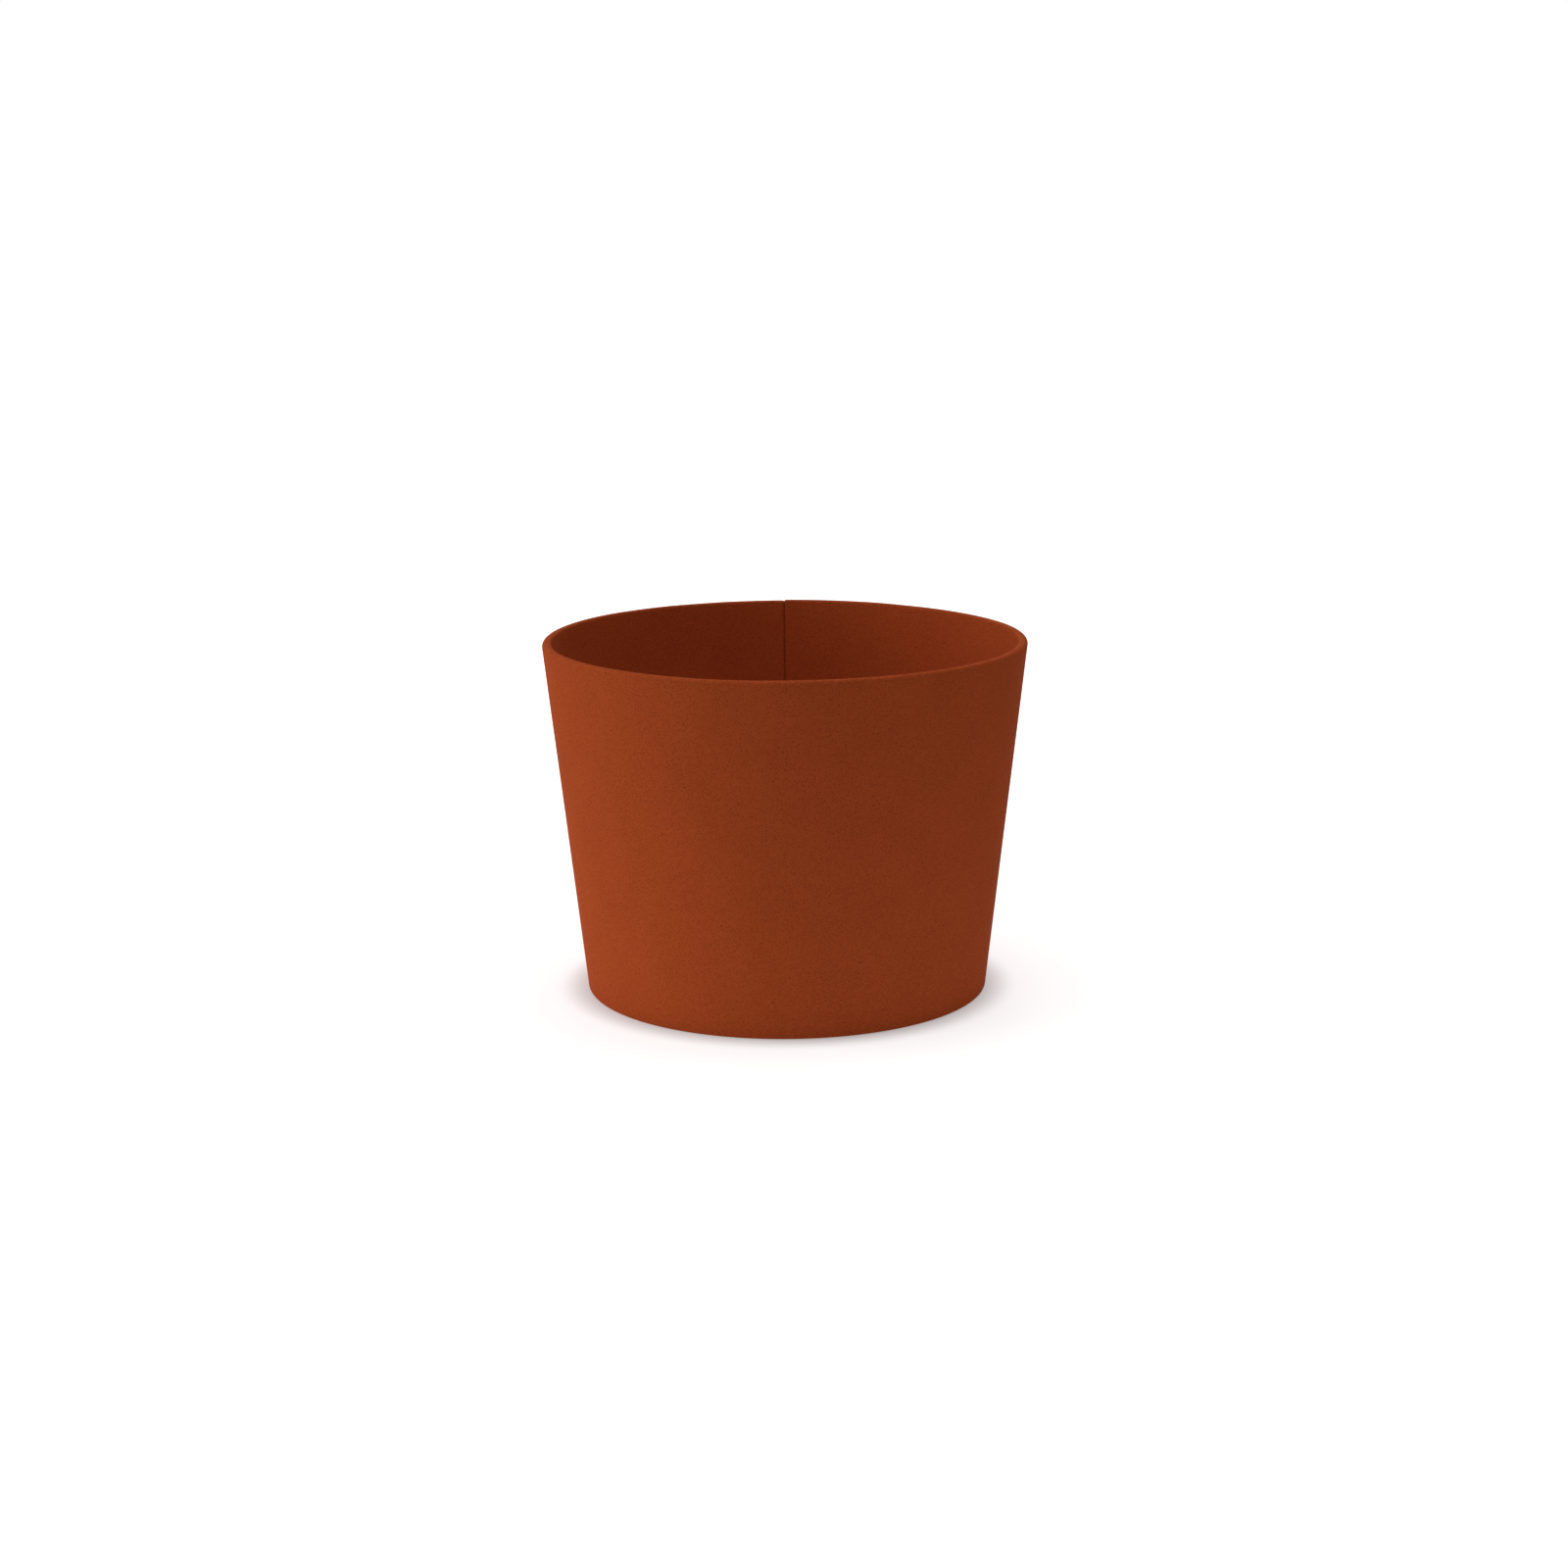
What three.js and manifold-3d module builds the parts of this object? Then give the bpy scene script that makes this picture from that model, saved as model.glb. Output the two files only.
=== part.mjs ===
// A foam cup sleeve.
//
// It is one piece: a band of thin closed-cell foam sheet, die-cut as an arc, rolled into a
// cone and glued end to end up the back. It is pushed on over its wide end and grips with
// its tapered bore, so the bore is the size that matters.
//
// Millimetres, +Z up. The origin is on the axis at the bottom rim, the front faces -Y and
// the glued seam runs up the wall at +Y. The wide end is up, as the sleeve is worn.

import * as THREE from 'three';
import { mergeVertices, toCreasedNormals } from 'three/addons/utils/BufferGeometryUtils.js';
import Module from 'manifold-3d';

// The band
const SLEEVE_HEIGHT = 61.9; // bottom rim to top rim, straight up the axis
const BORE_RADIUS_BOTTOM = 33.65; // inside of the wall at the bottom rim, before its round
const TAPER_DEG = 6.45; // lean of the wall from the axis
const FOAM_WALL = 1.6; // thickness of the foam sheet, square to its face

// The cut edges, rounded by the die pressing through the foam
const TOP_OUTER_ROUND = 0.7;
const TOP_INNER_ROUND = 0.4;
const BOTTOM_OUTER_ROUND = 0.5;
const BOTTOM_INNER_ROUND = 0.3;
const RIM_FLAT = 0.2; // the least width that stays flat between a rim's two rounds

// The glued seam, where the soft shoulders of the two ends leave a shallow V on each face
const OUTER_SEAM_WIDTH = 0.9;
const OUTER_SEAM_DEPTH = 0.35;
const INNER_SEAM_WIDTH = 0.7;
const INNER_SEAM_DEPTH = 0.25;

// Fineness of the mesh
const WALL_SEGMENTS = 120; // around the band
const ROUND_SEGMENTS = 5; // along each rounded edge
const CUT_OVERSHOOT = 1; // how far a seam cut runs past the foam
const CREASE_DEG = 25; // edges sharper than this are drawn sharp

// The colour and finish
const FOAM_COLOUR = '#A1451E';
const FOAM_ROUGHNESS = 0.92;

const taper = THREE.MathUtils.degToRad(TAPER_DEG);
const wallAcross = FOAM_WALL / Math.cos(taper); // the wall measured level
const flare = SLEEVE_HEIGHT * Math.tan(taper); // how much the radius grows to the top
const outerRadiusBottom = BORE_RADIUS_BOTTOM + wallAcross;

const wasm = await Module();
wasm.setup();

// The share of a rim's two rounds that fits on its wall.
function roundShare(first, second) {
  return Math.min(1, (wallAcross - RIM_FLAT) / (first + second));
}

// The points along the arc of a radius that rounds the corner between two straight edges.
function roundedCorner(before, corner, after, radius) {
  const back = before.clone().sub(corner).normalize();
  const ahead = after.clone().sub(corner).normalize();
  const halfAngle = Math.acos(back.dot(ahead)) / 2;
  const middle = back.clone().add(ahead).normalize();
  const centre = corner.clone().addScaledVector(middle, radius / Math.sin(halfAngle));
  const start = corner.clone().addScaledVector(back, radius / Math.tan(halfAngle)).sub(centre);
  const sweep = (Math.PI - 2 * halfAngle) * Math.sign(ahead.cross(back));

  const points = [];
  for (let i = 0; i <= ROUND_SEGMENTS; i++) {
    const angle = (sweep * i) / ROUND_SEGMENTS;
    points.push(start.clone().rotateAround(new THREE.Vector2(), angle).add(centre));
  }
  return points;
}

// The section of the wall, as a closed outline with x the radius and y the height.
function wallOutline() {
  const bottomShare = roundShare(BOTTOM_OUTER_ROUND, BOTTOM_INNER_ROUND);
  const topShare = roundShare(TOP_OUTER_ROUND, TOP_INNER_ROUND);
  const corners = [
    { x: BORE_RADIUS_BOTTOM, y: 0, round: BOTTOM_INNER_ROUND * bottomShare },
    { x: outerRadiusBottom, y: 0, round: BOTTOM_OUTER_ROUND * bottomShare },
    { x: outerRadiusBottom + flare, y: SLEEVE_HEIGHT, round: TOP_OUTER_ROUND * topShare },
    { x: BORE_RADIUS_BOTTOM + flare, y: SLEEVE_HEIGHT, round: TOP_INNER_ROUND * topShare },
  ];
  const places = corners.map(({ x, y }) => new THREE.Vector2(x, y));
  const outline = corners.flatMap(({ round }, i) => {
    const before = places[(i + places.length - 1) % places.length];
    const after = places[(i + 1) % places.length];
    return roundedCorner(before, places[i], after, round);
  });
  outline.push(outline[0].clone());
  return outline;
}

// The band before the seam is cut into it, turned so that its axis stands up.
function plainBand() {
  const band = new THREE.LatheGeometry(wallOutline(), WALL_SEGMENTS);
  return band.rotateX(Math.PI / 2);
}

// A long V-shaped wedge that leans with the wall at +Y. Its edge points into the foam:
// side is 1 for a groove cut from outside and -1 for one cut from inside the bore.
function seamWedge(faceRadiusBottom, width, depth, side) {
  const mouth = (width / 2) * ((depth + CUT_OVERSHOOT) / depth);
  const section = new THREE.Shape([
    new THREE.Vector2(0, -side * depth),
    new THREE.Vector2(mouth, side * CUT_OVERSHOOT),
    new THREE.Vector2(-mouth, side * CUT_OVERSHOOT),
  ]);
  const length = SLEEVE_HEIGHT / Math.cos(taper) + 2 * CUT_OVERSHOOT;
  const wedge = new THREE.ExtrudeGeometry(section, { depth: length, bevelEnabled: false });
  return wedge
    .translate(0, 0, -CUT_OVERSHOOT)
    .rotateX(-taper)
    .translate(0, faceRadiusBottom, 0);
}

// A closed geometry as a solid that can be cut.
function toSolid(geometry) {
  const bare = geometry.clone();
  bare.deleteAttribute('normal');
  bare.deleteAttribute('uv');
  const merged = mergeVertices(bare);
  return new wasm.Manifold(new wasm.Mesh({
    numProp: 3,
    vertProperties: new Float32Array(merged.attributes.position.array),
    triVerts: new Uint32Array(merged.index.array),
  }));
}

// A solid as a geometry with crisp edges and smooth faces.
function toGeometry(solid) {
  const { vertProperties, triVerts } = solid.getMesh();
  const geometry = new THREE.BufferGeometry();
  geometry.setAttribute('position', new THREE.BufferAttribute(vertProperties, 3));
  geometry.setIndex(new THREE.BufferAttribute(triVerts, 1));
  return toCreasedNormals(geometry, THREE.MathUtils.degToRad(CREASE_DEG));
}

// The foam band with its seam grooves, outside and inside.
function foamSleeve() {
  const outerSeam = seamWedge(outerRadiusBottom, OUTER_SEAM_WIDTH, OUTER_SEAM_DEPTH, 1);
  const innerSeam = seamWedge(BORE_RADIUS_BOTTOM, INNER_SEAM_WIDTH, INNER_SEAM_DEPTH, -1);
  const band = toSolid(plainBand())
    .subtract(toSolid(outerSeam))
    .subtract(toSolid(innerSeam));

  const foam = new THREE.MeshStandardMaterial({
    color: FOAM_COLOUR,
    roughness: FOAM_ROUGHNESS,
    metalness: 0,
  });
  const sleeve = new THREE.Mesh(toGeometry(band), foam);
  sleeve.name = 'foam_sleeve';
  return sleeve;
}

const group = new THREE.Group();
group.add(foamSleeve());

export default group;
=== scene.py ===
"""The looks of a foam cup sleeve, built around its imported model.

The sleeve is one piece: a band of closed-cell foam sheet, die-cut as an arc, rolled into a
cone and glued end to end up the back. It stands on a pale floor with its wide end up.
Lengths are in millimetres until they become Blender's metres.
"""

import logging
import math
from dataclasses import dataclass, field
from enum import Enum

import bpy
import numpy as np
from mathutils import Matrix, Vector, noise


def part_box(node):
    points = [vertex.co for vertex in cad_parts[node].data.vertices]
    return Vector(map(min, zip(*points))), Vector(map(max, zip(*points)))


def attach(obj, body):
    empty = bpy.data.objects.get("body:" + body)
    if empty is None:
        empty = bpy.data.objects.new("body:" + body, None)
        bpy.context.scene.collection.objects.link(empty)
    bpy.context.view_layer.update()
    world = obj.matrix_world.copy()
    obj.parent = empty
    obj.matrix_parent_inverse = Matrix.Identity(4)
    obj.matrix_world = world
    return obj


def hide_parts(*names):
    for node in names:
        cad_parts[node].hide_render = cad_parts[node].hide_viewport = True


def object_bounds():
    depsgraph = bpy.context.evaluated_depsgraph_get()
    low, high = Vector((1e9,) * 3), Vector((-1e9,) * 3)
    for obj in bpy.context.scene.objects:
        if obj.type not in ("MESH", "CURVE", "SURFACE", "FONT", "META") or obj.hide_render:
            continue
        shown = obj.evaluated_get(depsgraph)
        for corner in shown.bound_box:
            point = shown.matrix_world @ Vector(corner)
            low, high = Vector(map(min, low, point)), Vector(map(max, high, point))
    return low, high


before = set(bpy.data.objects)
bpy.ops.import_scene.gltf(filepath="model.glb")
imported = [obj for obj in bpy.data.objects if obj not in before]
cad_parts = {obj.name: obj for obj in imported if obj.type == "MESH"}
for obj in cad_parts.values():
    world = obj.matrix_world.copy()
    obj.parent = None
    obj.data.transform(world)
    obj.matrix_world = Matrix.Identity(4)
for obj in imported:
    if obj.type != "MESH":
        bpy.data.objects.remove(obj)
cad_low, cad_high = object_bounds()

MM = 0.001
SLEEVE_NODE = "foam_sleeve"

# The curve that sRGB colours are written on
SRGB_FOOT = 0.04045
SRGB_FOOT_SLOPE = 12.92
SRGB_OFFSET = 0.055
SRGB_POWER = 2.4

# Most values of a noise texture lie between these
NOISE_LOW = 0.3
NOISE_HIGH = 0.7

# A Mix node's sockets for colours, which share their names with its sockets for numbers
MIX_COLOUR_A = 6
MIX_COLOUR_B = 7
MIX_COLOUR_RESULT = 2

log = logging.getLogger("foam_sleeve_scene")


def linear(code: str) -> tuple[float, float, float, float]:
    """Turns an sRGB hex colour into linear light.

    Args:
        code: the colour, such as "#A1451E".

    Returns:
        Red, green, blue and an alpha of 1.
    """
    parts = [int(code[i:i + 2], 16) / 255 for i in (1, 3, 5)]
    red, green, blue = (
        c / SRGB_FOOT_SLOPE if c <= SRGB_FOOT else ((c + SRGB_OFFSET) / (1 + SRGB_OFFSET)) ** SRGB_POWER
        for c in parts
    )
    return red, green, blue, 1.0


def add_node(tree: bpy.types.NodeTree, kind: str, inputs: dict[str | int, object] | None = None,
             **settings: object) -> bpy.types.Node:
    """Adds a shader node with its settings, values and links.

    Args:
        tree: the node tree that gets it.
        kind: the node's type, without the words ShaderNode in front.
        inputs: input name or number to a value, or to the output socket that feeds it.
        **settings: the node's own properties, such as operation="MULTIPLY".

    Returns:
        The node.
    """
    node = tree.nodes.new("ShaderNode" + kind)
    for name, value in settings.items():
        setattr(node, name, value)
    for key, value in (inputs or {}).items():
        if isinstance(value, bpy.types.NodeSocket):
            tree.links.new(value, node.inputs[key])
        else:
            node.inputs[key].default_value = value
    return node


def fresh_tree(owner: bpy.types.Material | bpy.types.World) -> bpy.types.NodeTree:
    """Empties the node tree of a material or world.

    Args:
        owner: the material or world.

    Returns:
        Its tree, with no node in it.
    """
    owner.use_nodes = True
    owner.node_tree.nodes.clear()
    return owner.node_tree


def seen_rays(tree: bpy.types.NodeTree) -> bpy.types.NodeSocket:
    """Tells the rays that show the backdrop from those that light the scene.

    Args:
        tree: the floor's or the room's tree.

    Returns:
        A socket that is 1 for the camera's own rays and for those seen in gloss or glass.
    """
    path = add_node(tree, "LightPath")
    seen = path.outputs["Is Camera Ray"]
    for kind in ("Is Glossy Ray", "Is Transmission Ray"):
        either = add_node(tree, "Math", {0: seen, 1: path.outputs[kind]}, operation="ADD", use_clamp=True)
        seen = either.outputs[0]
    return seen


class Face(Enum):
    """The faces of the band, each with the depth in mm that the glued seam sinks there."""

    BORE = 0.25
    BOTTOM_RIM = 0.12
    OUTSIDE = 0.35
    TOP_RIM = 0.2

    @property
    def seam_depth(self) -> float:
        """How far the seam sinks into this face, in mm."""
        return self.value


@dataclass(frozen=True)
class FoamFinish:
    """Closed-cell EVA foam, skived from a block into sheet and die-cut.

    Skiving slices every cell open, so the faces are dead matte with a fine, even grain of
    shallow craters and a few larger bubbles, which are coloured darker as painted shade. The die
    crushes the cut edges, which leaves them coarser, and the rims are coloured paler, partly for
    the die's work and partly as a painted highlight where the rounded rims catch the light. Real
    cells are about 0.2 mm across, too fine to show from a step away, so they are drawn at half a
    millimetre.

    Attributes:
        name: the material's name.
        body: the foam's own colour, halfway down the craters.
        pale_wall: the colour of the cells' walls, paler than the painted shade down in the craters.
        painted_crater_shade: the colour in the craters, darker as painted shade.
        painted_pore_shade: the colour in the larger bubbles, darker as painted shade.
        glue_line: the colour of the glue in the seam.
        ior: the index of refraction of EVA.
        specular: how much of a smooth face's shine the open cells leave.
        wall_roughness: the roughness on the cells' walls.
        crater_roughness: the roughness in the craters.
        cell_mm: the spacing of the cells.
        wall_mm: half the thickness of a cell's wall.
        slope_mm: how far from the wall's middle the crater's floor starts.
        cell_depth_mm: the depth of the craters.
        fuzz_mm: the size of the torn film on the walls.
        fuzz_detail: the finer octaves of that film.
        fuzz_share: how much of the grain is that film.
        jitter_share: how far it bends the walls, as a share of a cell.
        pore_spacing_mm: the spacing of the larger bubbles.
        least_pore_mm: the width of the smallest of them.
        most_pore_mm: the width of the largest of them.
        pore_depth: the depth of a bubble, as a multiple of a crater's.
        pore_shade_cover: how far the painted shade in a bubble covers the foam's colour.
        mottle_mm: the size of the cloudy patches left by the dye.
        mottle_detail: the finer octaves of the patches.
        mottle_share: how much paler or deeper the patches are.
        edge_band_mm: how far the die's crushing reaches from a rim.
        edge_paling_and_highlight: how much paler a rim is, partly for the die-cut foam and partly as a
            painted highlight.
        edge_coarseness: how much deeper its grain is.
        glue_mm: half the width of the glue line.
        glue_fade_mm: how far from the joint its stain reaches.
        glue_cover: how far the glue's colour covers the foam's.
    """

    name: str = "closed_cell_eva_foam"
    body: str = "#A44621"
    pale_wall: str = "#AE4E25"
    painted_crater_shade: str = "#973E1C"
    painted_pore_shade: str = "#6E2A0D"
    glue_line: str = "#8A3812"
    ior: float = 1.48
    specular: float = 0.02
    wall_roughness: float = 0.88
    crater_roughness: float = 0.98
    cell_mm: float = 0.5
    wall_mm: float = 0.021
    slope_mm: float = 0.175
    cell_depth_mm: float = 0.045
    fuzz_mm: float = 0.16
    fuzz_detail: float = 2.0
    fuzz_share: float = 0.35
    jitter_share: float = 0.25
    pore_spacing_mm: float = 1.8
    least_pore_mm: float = 0.14
    most_pore_mm: float = 0.52
    pore_depth: float = 2.5
    pore_shade_cover: float = 0.5
    mottle_mm: float = 8.0
    mottle_detail: float = 3.0
    mottle_share: float = 0.03
    edge_band_mm: float = 0.7
    edge_paling_and_highlight: float = 1.12
    edge_coarseness: float = 3.0
    glue_mm: float = 0.05
    glue_fade_mm: float = 0.35
    glue_cover: float = 0.7

    def build(self, height_mm: float) -> bpy.types.Material:
        """Makes the material.

        Args:
            height_mm: the height of the top rim above the bottom rim.

        Returns:
            The material.
        """
        material = bpy.data.materials.new(self.name)
        tree = fresh_tree(material)
        place = add_node(tree, "TexCoord").outputs["Object"]
        place_mm = add_node(tree, "VectorMath", {0: place, "Scale": 1 / MM}, operation="SCALE").outputs[0]
        grain = self._grain(tree, place_mm)
        pores = self._pores(tree, place_mm)
        edge = self._edge_mask(tree, place_mm, height_mm)

        roughness = add_node(tree, "MapRange", {
            "Value": grain,
            "To Min": self.crater_roughness,
            "To Max": self.wall_roughness,
        })
        shader = add_node(tree, "BsdfPrincipled", {
            "Base Color": self._colour(tree, place_mm, grain, pores, edge),
            "Roughness": roughness.outputs[0],
            "IOR": self.ior,
            "Specular IOR Level": self.specular,
            "Normal": self._relief(tree, grain, pores, edge),
        })
        add_node(tree, "OutputMaterial", {"Surface": shader.outputs[0]})
        return material

    def _grain(self, tree: bpy.types.NodeTree, place: bpy.types.NodeSocket) -> bpy.types.NodeSocket:
        """Draws the sliced cells: thin walls round shallow craters, with torn film over both.

        Args:
            tree: the material's tree.
            place: the place on the sleeve, in mm.

        Returns:
            The height of the grain, from 0 in a crater to 1 on a cell's wall.
        """
        fuzz = add_node(tree, "TexNoise", {
            "Vector": place,
            "Scale": 1 / self.fuzz_mm,
            "Detail": self.fuzz_detail,
        })
        jitter = add_node(tree, "VectorMath", {
            0: fuzz.outputs["Color"],
            "Scale": self.jitter_share * self.cell_mm,
        }, operation="SCALE")
        moved = add_node(tree, "VectorMath", {0: place, 1: jitter.outputs[0]}, operation="ADD")
        cells = add_node(tree, "TexVoronoi", {
            "Vector": moved.outputs[0],
            "Scale": 1 / self.cell_mm,
        }, feature="DISTANCE_TO_EDGE")
        walls = add_node(tree, "MapRange", {
            "Value": cells.outputs["Distance"],
            "From Min": self.slope_mm / self.cell_mm,
            "From Max": self.wall_mm / self.cell_mm,
        }, interpolation_type="SMOOTHSTEP")
        grain = add_node(tree, "Mix", {
            "Factor": self.fuzz_share,
            "A": walls.outputs[0],
            "B": fuzz.outputs["Fac"],
        })
        return grain.outputs[0]

    def _pores(self, tree: bpy.types.NodeTree, place: bpy.types.NodeSocket) -> bpy.types.NodeSocket:
        """Draws the few larger bubbles that the slicing opened.

        Args:
            tree: the material's tree.
            place: the place on the sleeve, in mm.

        Returns:
            A mask that is 1 in the bottom of a bubble.
        """
        bubbles = add_node(tree, "TexVoronoi", {"Vector": place, "Scale": 1 / self.pore_spacing_mm})
        chance = add_node(tree, "SeparateColor", {0: bubbles.outputs["Color"]})
        radius = add_node(tree, "MapRange", {
            "Value": chance.outputs[0],
            "To Min": self.least_pore_mm / 2 / self.pore_spacing_mm,
            "To Max": self.most_pore_mm / 2 / self.pore_spacing_mm,
        })
        pore = add_node(tree, "MapRange", {
            "Value": bubbles.outputs["Distance"],
            "From Min": radius.outputs[0],
            "From Max": 0.0,
        }, interpolation_type="SMOOTHSTEP")
        return pore.outputs[0]

    def _edge_mask(self, tree: bpy.types.NodeTree, place: bpy.types.NodeSocket,
                   height_mm: float) -> bpy.types.NodeSocket:
        """Marks the die-cut rims.

        Args:
            tree: the material's tree.
            place: the place on the sleeve, in mm.
            height_mm: the height of the top rim.

        Returns:
            A mask that is 1 on the rims and fades out over their rounds.
        """
        height = add_node(tree, "SeparateXYZ", {0: place}).outputs["Z"]
        top = add_node(tree, "MapRange", {
            "Value": height,
            "From Min": height_mm - self.edge_band_mm,
            "From Max": height_mm,
        }, interpolation_type="SMOOTHSTEP")
        bottom = add_node(tree, "MapRange", {
            "Value": height,
            "From Min": self.edge_band_mm,
            "From Max": 0.0,
        }, interpolation_type="SMOOTHSTEP")
        either = add_node(tree, "Math", {0: top.outputs[0], 1: bottom.outputs[0]}, operation="MAXIMUM")
        return either.outputs[0]

    def _glue_mask(self, tree: bpy.types.NodeTree, place: bpy.types.NodeSocket) -> bpy.types.NodeSocket:
        """Marks the glued seam up the back.

        Args:
            tree: the material's tree.
            place: the place on the sleeve, in mm.

        Returns:
            A mask that is 1 on the seam's line and fades out beside it.
        """
        split = add_node(tree, "SeparateXYZ", {0: place})
        aside = add_node(tree, "Math", {0: split.outputs["X"]}, operation="ABSOLUTE")
        near = add_node(tree, "MapRange", {
            "Value": aside.outputs[0],
            "From Min": self.glue_fade_mm,
            "From Max": self.glue_mm,
        }, interpolation_type="SMOOTHSTEP")
        behind = add_node(tree, "Math", {0: split.outputs["Y"], 1: 0.0}, operation="GREATER_THAN")
        both = add_node(tree, "Math", {0: near.outputs[0], 1: behind.outputs[0]}, operation="MULTIPLY")
        return both.outputs[0]

    def _colour(self, tree: bpy.types.NodeTree, place: bpy.types.NodeSocket, grain: bpy.types.NodeSocket,
                pores: bpy.types.NodeSocket, edge: bpy.types.NodeSocket) -> bpy.types.NodeSocket:
        """Mixes the foam's colour, with painted shade in the craters and bubbles and a painted highlight on
        the rims.

        Args:
            tree: the material's tree.
            place: the place on the sleeve, in mm.
            grain: the height of the grain.
            pores: the mask of the larger bubbles.
            edge: the mask of the cut rims.

        Returns:
            The colour.
        """
        # The ramp paints shade into the craters: darker down in them, paler on the cells' walls.
        cells = add_node(tree, "ValToRGB", {0: grain})
        deep, pale = cells.color_ramp.elements
        deep.color = linear(self.painted_crater_shade)
        pale.color = linear(self.pale_wall)
        halfway = (deep.position + pale.position) / 2
        cells.color_ramp.elements.new(halfway).color = linear(self.body)

        mottle = add_node(tree, "TexNoise", {
            "Vector": place,
            "Scale": 1 / self.mottle_mm,
            "Detail": self.mottle_detail,
        })
        cloudy = add_node(tree, "MapRange", {
            "Value": mottle.outputs["Fac"],
            "From Min": NOISE_LOW,
            "From Max": NOISE_HIGH,
            "To Min": 1 - self.mottle_share,
            "To Max": 1 + self.mottle_share,
        })
        # Rims are made paler, partly for the die-cut foam and partly as a painted highlight on their rounds.
        paled_and_lit_edge = add_node(tree, "MapRange", {"Value": edge, "To Min": 1.0, "To Max": self.edge_paling_and_highlight})
        tone = add_node(tree, "Math", {0: cloudy.outputs[0], 1: paled_and_lit_edge.outputs[0]}, operation="MULTIPLY")
        toned = add_node(tree, "VectorMath", {
            0: cells.outputs[0],
            "Scale": tone.outputs[0],
        }, operation="SCALE")

        colour = toned.outputs[0]
        # The bubbles get painted shade; the glue line is the seam's own darker colour.
        layers = (
            (pores, self.pore_shade_cover, self.painted_pore_shade),
            (self._glue_mask(tree, place), self.glue_cover, self.glue_line),
        )
        for mask, cover, code in layers:
            amount = add_node(tree, "Math", {0: mask, 1: cover}, operation="MULTIPLY")
            mix = add_node(tree, "Mix", {
                "Factor": amount.outputs[0],
                MIX_COLOUR_A: colour,
                MIX_COLOUR_B: linear(code),
            }, data_type="RGBA")
            colour = mix.outputs[MIX_COLOUR_RESULT]
        return colour

    def _relief(self, tree: bpy.types.NodeTree, grain: bpy.types.NodeSocket, pores: bpy.types.NodeSocket,
                edge: bpy.types.NodeSocket) -> bpy.types.NodeSocket:
        """Turns the patterns into relief, deeper on the cut rims.

        Args:
            tree: the material's tree.
            grain: the height of the grain.
            pores: the mask of the larger bubbles.
            edge: the mask of the cut rims.

        Returns:
            The normal.
        """
        height = add_node(tree, "Math", {0: pores, 1: -self.pore_depth, 2: grain}, operation="MULTIPLY_ADD")
        depth = self.cell_depth_mm * MM
        reach = add_node(tree, "MapRange", {
            "Value": edge,
            "To Min": depth,
            "To Max": self.edge_coarseness * depth,
        })
        bump = add_node(tree, "Bump", {"Distance": reach.outputs[0], "Height": height.outputs[0]})
        return bump.outputs[0]


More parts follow.
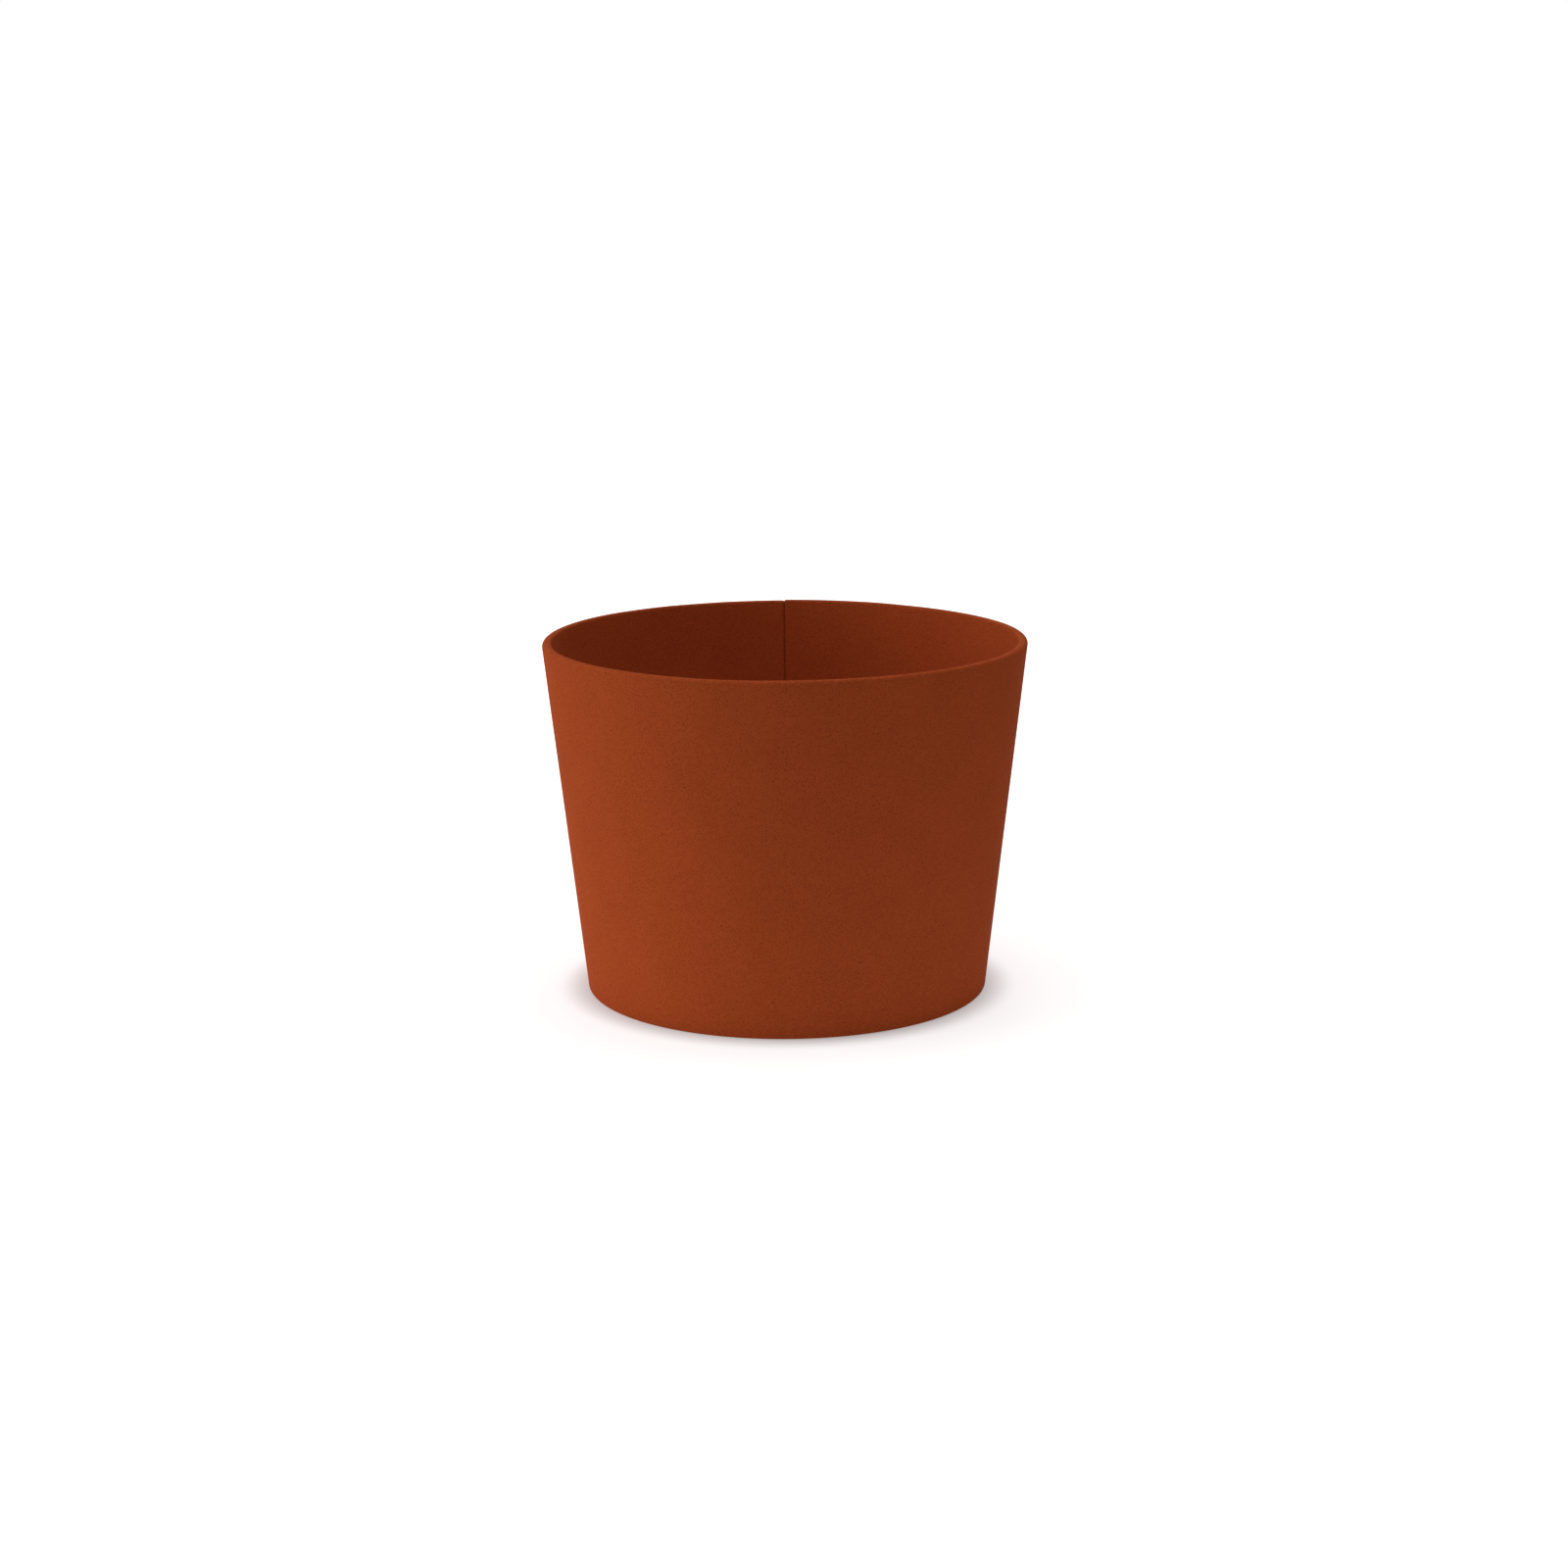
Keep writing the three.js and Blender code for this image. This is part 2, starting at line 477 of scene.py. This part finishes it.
@dataclass(frozen=True)
class CardFinish:
    """Pale card, pressed smooth but uncoated, so it is matte and shows no reflection.

    It glows a little, which stands for the light that a wide white sweep would throw back.
    Where it is seen it runs out to pure white, and where it lights the sleeve it throws light
    up from below. The glow fades beside the foot as a painted contact shadow, where the sleeve would keep
    the light away.

    Attributes:
        name: the material's name.
        colour: the card's own colour.
        near_seen: the glow that is seen round the sleeve.
        far_seen: the glow that is seen far from it, where 1 is white.
        near_bounce: the glow that lights the sleeve from close by.
        far_bounce: the glow that lights it from afar.
        fade_start: how far from the axis the near glow starts to change, in metres.
        fade_end: how far from the axis it has become the far glow, in metres.
        foot_glow: the share of the glow that is left under the foot, which paints a contact shadow there.
        foot_reach: how far from the foot it is whole again, in metres.
    """

    name: str = "pale_matte_card"
    colour: str = "#D9D9D9"
    near_seen: float = 0.68
    far_seen: float = 1.0
    near_bounce: float = 0.5
    far_bounce: float = 0.12
    fade_start: float = 0.04
    fade_end: float = 0.18
    foot_glow: float = 0.45
    foot_reach: float = 0.007

    def build(self, foot_radius: float) -> bpy.types.Material:
        """Makes the material.

        Args:
            foot_radius: the radius of the rim that stands on the card, in metres.

        Returns:
            The material.
        """
        material = bpy.data.materials.new(self.name)
        tree = fresh_tree(material)
        place = add_node(tree, "TexCoord").outputs["Object"]
        reach = add_node(tree, "VectorMath", {0: place}, operation="LENGTH").outputs["Value"]
        glow = self._glow(tree, reach)
        # Painted contact shadow: the glow fades beside the foot.
        shade = self._painted_foot_shadow(tree, reach, foot_radius)
        kept = add_node(tree, "Math", {0: glow, 1: shade}, operation="MULTIPLY")
        card = add_node(tree, "BsdfDiffuse", {"Color": linear(self.colour)})
        light = add_node(tree, "Emission", {"Color": linear("#FFFFFF"), "Strength": kept.outputs[0]})
        both = add_node(tree, "AddShader", {0: card.outputs[0], 1: light.outputs[0]})
        add_node(tree, "OutputMaterial", {"Surface": both.outputs[0]})
        return material

    def _glow(self, tree: bpy.types.NodeTree, reach: bpy.types.NodeSocket) -> bpy.types.NodeSocket:
        """Sets the glow, which changes with the distance from the axis.

        Args:
            tree: the material's tree.
            reach: the distance from the axis, in metres.

        Returns:
            The strength of the glow.
        """
        away = add_node(tree, "MapRange", {
            "Value": reach,
            "From Min": self.fade_start,
            "From Max": self.fade_end,
        }, interpolation_type="SMOOTHSTEP").outputs[0]
        seen = add_node(tree, "MapRange", {"Value": away, "To Min": self.near_seen, "To Max": self.far_seen})
        bounce = add_node(tree, "MapRange", {
            "Value": away,
            "To Min": self.near_bounce,
            "To Max": self.far_bounce,
        })
        glow = add_node(tree, "Mix", {
            "Factor": seen_rays(tree),
            "A": bounce.outputs[0],
            "B": seen.outputs[0],
        })
        return glow.outputs[0]

    def _painted_foot_shadow(self, tree: bpy.types.NodeTree, reach: bpy.types.NodeSocket,
                    foot_radius: float) -> bpy.types.NodeSocket:
        """Paints a contact shadow beside the foot by fading the glow, where the sleeve keeps the light away.

        Args:
            tree: the material's tree.
            reach: the distance from the axis, in metres.
            foot_radius: the radius of the rim that stands on the card, in metres.

        Returns:
            The share of the glow that is left.
        """
        gap = add_node(tree, "Math", {0: reach, 1: foot_radius}, operation="SUBTRACT")
        beside = add_node(tree, "Math", {0: gap.outputs[0]}, operation="ABSOLUTE")
        shade = add_node(tree, "MapRange", {
            "Value": beside.outputs[0],
            "From Max": self.foot_reach,
            "To Min": self.foot_glow,
        }, interpolation_type="SMOOTHSTEP")
        return shade.outputs[0]


@dataclass(frozen=True)
class SectionPoint:
    """A point of the wall's section.

    Attributes:
        radius: distance from the axis, in mm.
        height: height above the bottom rim, in mm.
        out: the outward normal, as radius and height.
        seam_depth: how far the seam sinks here, in mm.
    """

    radius: float
    height: float
    out: tuple[float, float]
    seam_depth: float


@dataclass
class WallSection:
    """The section of the foam wall: a slanted strip with four rounded corners.

    Attributes:
        top_radius: the widest radius, at the top rim, in mm.
        height: bottom rim to top rim, in mm.
        wall: the thickness of the foam, square to its face, in mm.
        taper_deg: the wall's lean from the axis.
        top_outer_round: the round between the outside and the top rim, in mm.
        top_inner_round: the round between the top rim and the bore, in mm.
        bottom_outer_round: the round between the bottom rim and the outside, in mm.
        bottom_inner_round: the round between the bore and the bottom rim, in mm.
        round_steps: steps of the mesh along each round.
        wall_steps: steps up each face of the wall.
        rim_steps: steps across each rim.
    """

    top_radius: float
    height: float
    wall: float = 1.6
    taper_deg: float = 6.45
    top_outer_round: float = 0.7
    top_inner_round: float = 0.4
    bottom_outer_round: float = 0.5
    bottom_inner_round: float = 0.3
    round_steps: int = 9
    wall_steps: int = 34
    rim_steps: int = 2

    @property
    def taper(self) -> float:
        """The wall's lean from the axis, in radians."""
        return math.radians(self.taper_deg)

    @property
    def foot_radius(self) -> float:
        """The radius of the middle of the bottom rim, in mm."""
        inner, outer = self.corners()[:2]
        return (inner[0].x + outer[0].x) / 2

    def corners(self) -> list[tuple[Vector, float, Face]]:
        """Works out the sharp corners.

        Returns:
            Each corner with its round and the face that follows it, bottom inner corner first.
        """
        lean = math.tan(self.taper)
        across = self.wall / math.cos(self.taper)
        # The round takes off the corner's tip, which therefore lies outside the widest radius
        tip = self.top_outer_round * (lean + 1 / math.cos(self.taper) - 1)
        outer_top = self.top_radius + tip
        outer_bottom = outer_top - self.height * lean
        return [
            (Vector((outer_bottom - across, 0)), self.bottom_inner_round, Face.BOTTOM_RIM),
            (Vector((outer_bottom, 0)), self.bottom_outer_round, Face.OUTSIDE),
            (Vector((outer_top, self.height)), self.top_outer_round, Face.TOP_RIM),
            (Vector((outer_top - across, self.height)), self.top_inner_round, Face.BORE),
        ]

    def points(self) -> list[SectionPoint]:
        """Lays points along the whole outline, bottom inner corner first, by way of the outside.

        Returns:
            The points, with the first not repeated.
        """
        corners = self.corners()
        steps = {Face.BOTTOM_RIM: self.rim_steps, Face.TOP_RIM: self.rim_steps}
        arcs = [self._arc(i, corners) for i in range(len(corners))]
        outline: list[SectionPoint] = []
        for i, arc in enumerate(arcs):
            face = corners[i][2]
            after = arcs[(i + 1) % len(arcs)]
            outline += arc
            outline += self._straight(arc[-1], after[0], steps.get(face, self.wall_steps))
        return outline

    def _arc(self, index: int, corners: list[tuple[Vector, float, Face]]) -> list[SectionPoint]:
        """Rounds one corner.

        Args:
            index: which corner.
            corners: all the corners.

        Returns:
            The points from the face before it to the face after it.
        """
        corner, rounding, face = corners[index]
        before = corners[index - 1]
        back = (before[0] - corner).normalized()
        ahead = (corners[(index + 1) % len(corners)][0] - corner).normalized()
        half = back.angle(ahead) / 2
        centre = corner + (back + ahead).normalized() * rounding / math.sin(half)
        start = (-ahead + back * back.dot(ahead)).normalized()
        sweep = math.pi - 2 * half
        points = []
        for step in range(self.round_steps + 1):
            share = step / self.round_steps
            out = Matrix.Rotation(sweep * share, 2) @ start
            place = centre + out * rounding
            depth = before[2].seam_depth * (1 - share) + face.seam_depth * share
            points.append(SectionPoint(place.x, place.y, (out.x, out.y), depth))
        return points

    @staticmethod
    def _straight(start: SectionPoint, end: SectionPoint, steps: int) -> list[SectionPoint]:
        """Fills a straight face between two rounds, without its ends.

        Args:
            start: the last point of the round before it.
            end: the first point of the round after it.
            steps: how many lengths it is divided into.

        Returns:
            The points between the two.
        """
        shares = [step / steps for step in range(1, steps)]
        return [
            SectionPoint(
                start.radius + (end.radius - start.radius) * share,
                start.height + (end.height - start.height) * share,
                start.out,
                start.seam_depth,
            )
            for share in shares
        ]


@dataclass
class GluedSeam:
    """The butt joint up the back, where the two soft ends of the band meet.

    Attributes:
        shoulder: how far from the joint the ends start to curve in, in mm.
        slit: the width of the glue line, in mm.
        spring: how far the ends spring out of round, in mm.
        spring_reach: how far along the band that shows, in mm.
        step: how much higher one end was glued than the other, in mm.
        step_reach: how far along the band the step fades out, in mm.
        columns: columns of the mesh on each shoulder.
        crowding: how much closer those columns stand near the joint, where 1 is evenly.
    """

    shoulder: float = 0.55
    slit: float = 0.03
    spring: float = 0.16
    spring_reach: float = 7.0
    step: float = 0.12
    step_reach: float = 9.0
    columns: int = 9
    crowding: float = 1.6

    def places(self) -> np.ndarray:
        """Spaces the mesh's columns on one shoulder.

        Returns:
            Their distances from the joint along the band, in mm.
        """
        shares = np.arange(self.columns + 1) / self.columns
        return self.slit / 2 + (self.shoulder - self.slit / 2) * shares ** self.crowding

    def sink(self, aside: np.ndarray) -> np.ndarray:
        """Shapes the shoulders as quarter rounds.

        Args:
            aside: distances from the joint along the band, in mm.

        Returns:
            How far the surface sinks, as a share of the seam's depth.
        """
        near = np.clip(1 - np.abs(aside) / self.shoulder, 0, 1)
        return 1 - np.sqrt(1 - near ** 2)

    def bulge(self, aside: np.ndarray) -> np.ndarray:
        """Gives how far the ends of the band spring outwards, in mm."""
        return self.spring * np.exp(-((aside / self.spring_reach) ** 2))

    def lift(self, aside: np.ndarray) -> np.ndarray:
        """Gives how far each end is shifted up or down at the top rim, in mm."""
        return np.sign(aside) * self.step / 2 * np.exp(-np.abs(aside) / self.step_reach)


@dataclass(frozen=True)
class Wave:
    """A slow wave round the band.

    Attributes:
        turns: how often it repeats on the way round.
        rise: how far it rises, in mm.
        start: where it starts, in radians.
    """

    turns: int
    rise: float
    start: float

    def at(self, angle: np.ndarray) -> np.ndarray:
        """Gives its height at each angle, in mm."""
        return self.rise * np.sin(self.turns * angle + self.start)


@dataclass
class HandRolling:
    """The small unevenness of a soft band that was rolled and glued by hand.

    Attributes:
        out_of_round: the waves that take the band out of a circle.
        rim_wander: the waves of the top rim's height.
        ripple: how far the faces rise and fall, in mm.
        ripple_size: the size of those rises, in mm.
    """

    out_of_round: tuple[Wave, ...] = (
        Wave(2, 0.06, 0.7 + math.pi / 2),
        Wave(3, 0.04, 2.1 + math.pi / 2),
    )
    rim_wander: tuple[Wave, ...] = (
        Wave(2, 0.035, 1.9),
        Wave(5, 0.035, 0.4),
    )
    ripple: float = 0.035
    ripple_size: float = 9.0

    def radial(self, angle: np.ndarray) -> np.ndarray:
        """Gives the departure from a circle at each angle, in mm."""
        return sum(wave.at(angle) for wave in self.out_of_round)

    def wander(self, angle: np.ndarray) -> np.ndarray:
        """Gives the rise of the top rim at each angle, in mm."""
        return sum(wave.at(angle) for wave in self.rim_wander)

    def surface(self, x: float, y: float, z: float) -> float:
        """Gives the rise of a face at a place, all in mm."""
        return self.ripple * noise.noise(Vector((x, y, z)) / self.ripple_size)


@dataclass
class FoamSleeve:
    """The sleeve: one closed band of foam in place of the plain solid.

    Attributes:
        low: the lowest corner of the solid's box, in metres.
        high: its highest corner.
        columns: columns of the mesh round the band, apart from the seam's shoulders.
        finish: what it is made of.
        seam: the joint up its back.
        rolling: its unevenness.
    """

    low: Vector
    high: Vector
    columns: int = 440
    finish: FoamFinish = field(default_factory=FoamFinish)
    seam: GluedSeam = field(default_factory=GluedSeam)
    rolling: HandRolling = field(default_factory=HandRolling)

    def __post_init__(self) -> None:
        """Takes the wall's section from the solid's own box."""
        self.height = (self.high.z - self.low.z) / MM
        self.section = WallSection(top_radius=(self.high.x - self.low.x) / 2 / MM, height=self.height)

    def build(self) -> bpy.types.Object:
        """Makes the sleeve, dresses it and puts it in its place.

        Returns:
            The finished piece.
        """
        mesh = self._mesh()
        mesh.materials.append(self.finish.build(self.height))
        piece = bpy.data.objects.new("foam_sleeve_band", mesh)
        bpy.context.collection.objects.link(piece)
        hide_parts(SLEEVE_NODE)
        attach(piece, "root")
        return piece

    def _angles(self) -> np.ndarray:
        """Spaces the mesh's columns, with more of them on the seam's shoulders.

        Returns:
            Angles from the seam, in radians, from just past it right round to just before it.
        """
        first = self.seam.places() / self.section.top_radius
        rest = np.linspace(first[-1], 2 * math.pi - first[-1], self.columns)[1:-1]
        return np.concatenate([first, rest, (2 * math.pi - first)[::-1]])

    def _places(self, angles: np.ndarray) -> np.ndarray:
        """Sweeps the section round the axis, with the seam and the unevenness of the rolling.

        Args:
            angles: the angle of each column of the mesh from the seam, in radians.

        Returns:
            The mesh's points in mm, by column, by point of the section and by axis.
        """
        turned = np.where(angles > math.pi, angles - 2 * math.pi, angles)
        radial = self.rolling.radial(angles)
        wander = self.rolling.wander(angles)
        outline = self.section.points()
        places = np.empty((len(angles), len(outline), 3))
        for j, point in enumerate(outline):
            aside = turned * point.radius
            sunk = -point.seam_depth * self.seam.sink(aside)
            # The foot stays flat on the floor, and the unevenness grows towards the top
            up = point.height / self.height
            radius = point.radius + sunk * point.out[0] + radial + self.seam.bulge(aside)
            height = point.height + sunk * point.out[1] + up * (wander + self.seam.lift(aside))
            x = radius * np.sin(angles)
            y = radius * np.cos(angles)
            rise = up * np.array([self.rolling.surface(*p) for p in zip(x, y, height)])
            grow = 1 + rise * point.out[0] / radius
            places[:, j] = np.stack([x * grow, y * grow, height + rise * point.out[1]], axis=1)
        return places

    def _mesh(self) -> bpy.types.Mesh:
        """Makes the closed skin of the band.

        Returns:
            The mesh, in metres.
        """
        places = self._places(self._angles())
        columns, ring = places.shape[:2]
        faces = []
        for i in range(columns):
            after = (i + 1) % columns
            for j in range(ring):
                above = (j + 1) % ring
                faces.append((i * ring + j, i * ring + above, after * ring + above, after * ring + j))
        mesh = bpy.data.meshes.new("foam_sleeve_band")
        mesh.from_pydata((places.reshape(-1, 3) * MM).tolist(), [], faces)
        mesh.polygons.foreach_set("use_smooth", [True] * len(faces))
        mesh.update()
        return mesh


@dataclass(frozen=True)
class SoftLamp:
    """A square soft box.

    Attributes:
        name: what it does.
        place: where it hangs, in metres.
        size: the length of its side, in metres.
        power: its power, in watts.
    """

    name: str
    place: tuple[float, float, float]
    size: float
    power: float

    def build(self, target: Vector) -> None:
        """Hangs the lamp and turns it to a target.

        Args:
            target: the point that it faces.
        """
        data = bpy.data.lights.new(self.name, "AREA")
        data.shape = "SQUARE"
        data.size = self.size
        data.energy = self.power
        lamp = bpy.data.objects.new(self.name, data)
        lamp.location = self.place
        lamp.rotation_euler = (target - lamp.location).to_track_quat("-Z", "Y").to_euler()
        bpy.context.collection.objects.link(lamp)


@dataclass
class Studio:
    """A pale floor in a white room, with soft lamps on the left, overhead and behind.

    Attributes:
        target: the point that the lamps face, in metres.
        foot_radius: the radius of the rim that stands on the floor, in metres.
        floor_size: the length of the floor's side, in metres.
        floor_gap: how far below the rim the floor lies, in metres, so that they never share a plane.
        sky_strength: how strongly the room lights the sleeve.
        seen_strength: how bright the room is where it is seen, where 1 is white.
        card: what the floor is made of.
        lamps: the soft boxes.
    """

    target: Vector
    foot_radius: float
    floor_size: float = 6.0
    floor_gap: float = 0.00005
    sky_strength: float = 0.22
    seen_strength: float = 1.0
    card: CardFinish = field(default_factory=CardFinish)
    lamps: tuple[SoftLamp, ...] = (
        SoftLamp("soft_key", (-0.75, -0.05, 0.22), 0.55, 3.0),
        SoftLamp("soft_top", (0.05, 0.05, 0.8), 0.5, 2.0),
        SoftLamp("soft_back", (0.1, 0.75, 0.3), 0.5, 0.8),
    )

    def build(self) -> bpy.types.Object:
        """Makes the room, the floor and the lamps.

        Returns:
            The floor.
        """
        self._room()
        floor = self._floor()
        for lamp in self.lamps:
            lamp.build(self.target)
        return floor

    def _room(self) -> None:
        """Sets the world: white where it is seen, and a dimmer even light on the sleeve."""
        world = bpy.data.worlds.new("white_room")
        bpy.context.scene.world = world
        tree = fresh_tree(world)
        strength = add_node(tree, "MapRange", {
            "Value": seen_rays(tree),
            "To Min": self.sky_strength,
            "To Max": self.seen_strength,
        })
        white = add_node(tree, "Background", {"Color": linear("#FFFFFF"), "Strength": strength.outputs[0]})
        add_node(tree, "OutputWorld", {"Surface": white.outputs[0]})

    def _floor(self) -> bpy.types.Object:
        """Lays the floor just under the sleeve's foot.

        Returns:
            The floor.
        """
        half = self.floor_size / 2
        corners = [(-half, -half, 0), (half, -half, 0), (half, half, 0), (-half, half, 0)]
        mesh = bpy.data.meshes.new("pale_floor")
        mesh.from_pydata(corners, [], [(0, 1, 2, 3)])
        mesh.materials.append(self.card.build(self.foot_radius))
        floor = bpy.data.objects.new("pale_floor", mesh)
        floor.location.z = -self.floor_gap
        bpy.context.collection.objects.link(floor)
        return floor


@dataclass
class PhotoCamera:
    """The camera, standing where the photograph was taken from.

    Attributes:
        distance: how far in front of the sleeve's axis it stands, in mm.
        height: how far above the bottom rim it stands, in mm.
        yaw_deg: how far it looks to the left of the axis.
        pitch_deg: how far it looks down.
        roll_deg: how far it is tilted about its own line of sight.
        lens: its focal length on a 36 mm wide frame, in mm.
    """

    distance: float = 506.97
    height: float = 148.62
    yaw_deg: float = 0.031
    pitch_deg: float = 12.543
    roll_deg: float = -0.385
    lens: float = 67.84

    def build(self) -> None:
        """Makes the camera and gives it to the scene."""
        data = bpy.data.cameras.new("photo_camera")
        data.lens = self.lens
        camera = bpy.data.objects.new("photo_camera", data)
        turn = Matrix.Rotation(math.radians(self.yaw_deg), 4, "Z")
        down = Matrix.Rotation(math.radians(90 - self.pitch_deg), 4, "X")
        tilt = Matrix.Rotation(math.radians(self.roll_deg), 4, "Z")
        stand = Matrix.Translation((0, -self.distance * MM, self.height * MM))
        camera.matrix_world = stand @ turn @ down @ tilt
        bpy.context.collection.objects.link(camera)
        bpy.context.scene.camera = camera


def main() -> None:
    """Builds the camera, the studio and the sleeve, in that order."""
    logging.basicConfig(level=logging.INFO, format="%(name)s: %(message)s")
    bpy.context.scene.view_settings.view_transform = "Standard"
    PhotoCamera().build()
    sleeve = FoamSleeve(*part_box(SLEEVE_NODE))
    middle = (cad_low + cad_high) / 2
    floor = Studio(target=middle, foot_radius=sleeve.section.foot_radius * MM).build()
    band = sleeve.build()
    for piece in (floor, band):
        log.info("%s: %d faces", piece.name, len(piece.data.polygons))


if __name__ == "__main__":
    main()
